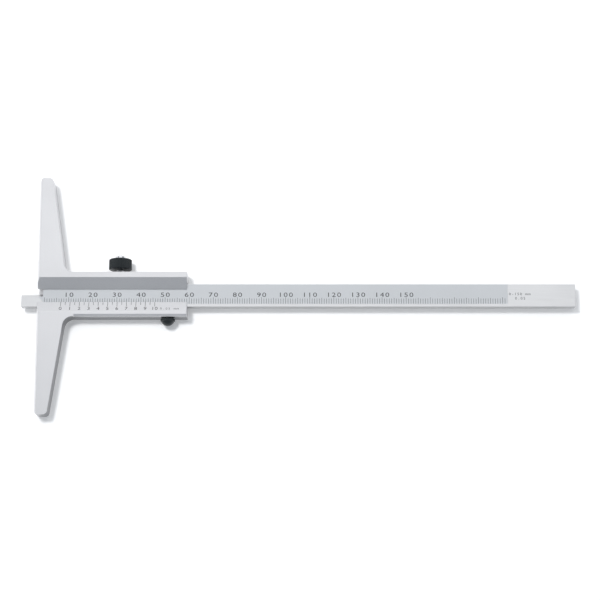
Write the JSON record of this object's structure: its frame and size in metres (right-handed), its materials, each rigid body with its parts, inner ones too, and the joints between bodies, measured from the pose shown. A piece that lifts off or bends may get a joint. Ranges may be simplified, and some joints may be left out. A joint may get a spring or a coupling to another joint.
{
  "type": "depth gauge",
  "caption": "Vernier depth gauge: a tapered T-shaped head with a vernier slides on a long flat graduated beam and is held by a knurled lock screw.",
  "frame": {"origin": "on the plane of the measuring face, where the beam's centre line crosses it, at the height of the flat back that the gauge lies on", "axes": "+X along the beam towards its far end, +Y across the beam towards the lock knob, +Z out of the graduated front face"},
  "size_m": [0.23, 0.1, 0.0096],
  "materials": {
    "satin_chrome": "satin chrome plate on steel",
    "beam_steel": "satin chrome plate, matte in the sunk scale area",
    "blackened_steel": "blackened, knurled, slightly glossy",
    "screw_steel": "bright turned steel",
    "spring_bronze": "rolled spring bronze",
    "pad_brass": "turned brass"
  },
  "bodies": {
    "head": {"head": "satin_chrome", "gib_spring": "spring_bronze", "gib_screws": "screw_steel"},
    "beam": {"beam": "beam_steel"},
    "lock_pad": {"lock_pad": "pad_brass"},
    "lock_knob": {"lock_knob": "blackened_steel", "lock_screw": "screw_steel"},
    "clamp_pad": {"clamp_pad": "pad_brass"},
    "clamp_knob": {"clamp_knob": "blackened_steel", "clamp_screw": "screw_steel"}
  },
  "joints": [
    {"name": "beam_slide", "type": "slide", "parent": "head", "child": "beam", "axis": [-1, 0, 0], "range_m": [-0.0068, 0.1432]},
    {"name": "lock_feed", "type": "slide", "parent": "head", "child": "lock_pad", "axis": [0, -1, 0], "range_m": [-0.001, 0.00013]},
    {"name": "lock_turn", "type": "hinge", "parent": "lock_pad", "child": "lock_knob", "pos_m": [0.0339, 0, 0.004], "axis": [0, -1, 0], "range_deg": [-720, 90]},
    {"name": "clamp_feed", "type": "slide", "parent": "head", "child": "clamp_pad", "axis": [0, 1, 0], "range_m": [-0.0009, 0.00011]},
    {"name": "clamp_turn", "type": "hinge", "parent": "clamp_pad", "child": "clamp_knob", "pos_m": [0.054, 0, 0.004], "axis": [0, 1, 0], "range_deg": [-720, 90]}
  ],
  "couplings": [
    {"joint": "lock_turn", "follows": "lock_feed", "rad_per_m": 12566},
    {"joint": "clamp_turn", "follows": "clamp_feed", "rad_per_m": 13963}
  ]
}
